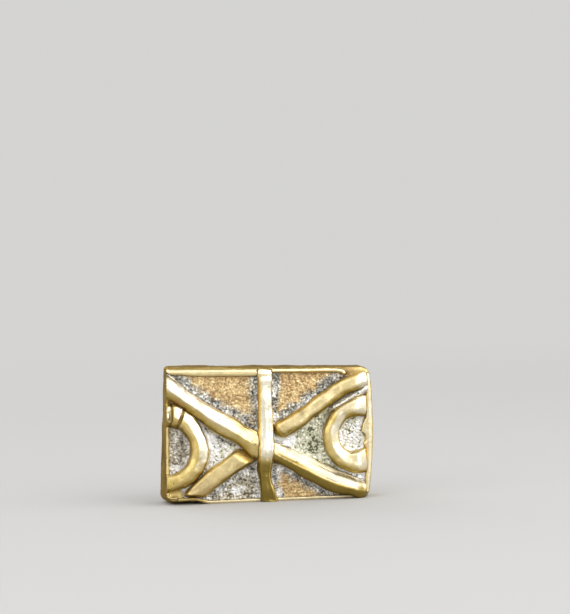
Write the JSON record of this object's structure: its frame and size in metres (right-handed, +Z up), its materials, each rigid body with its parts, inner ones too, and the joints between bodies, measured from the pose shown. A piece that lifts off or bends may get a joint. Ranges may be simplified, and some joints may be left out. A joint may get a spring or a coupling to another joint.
{
  "type": "akan gold weight",
  "caption": "Small oblong cast brass weight for gold dust: a thick slab with rolled threads on its face, a rib crossed by diagonals and a crescent open to each short edge.",
  "frame": {"origin": "under the middle of the lower long edge, on the surface that the weight stands on, at half of its depth", "axes": "+X along the long edge, to the right as seen from the decorated face; +Y from the decorated face to the plain back; +Z up the short edge"},
  "size_m": [0.0213, 0.0054, 0.0136],
  "materials": {
    "slab_brass": "cast, granular floor with brown and grey patina, worn edges",
    "thread_brass": "cast, rubbed smooth and bright on the crests, darker in the crevices"
  },
  "bodies": {
    "root": {"slab": "slab_brass", "centre_rib": "thread_brass", "long_diagonal": "thread_brass", "upper_right_arm": "thread_brass", "lower_left_arm": "thread_brass", "left_crescent": "thread_brass", "right_crescent": "thread_brass", "left_rim": "thread_brass", "corner_rim": "thread_brass", "right_rim": "thread_brass", "top_left_rim": "thread_brass", "top_right_rim": "thread_brass", "bottom_left_rim": "thread_brass", "bottom_right_rim": "thread_brass"}
  },
  "joints": []
}
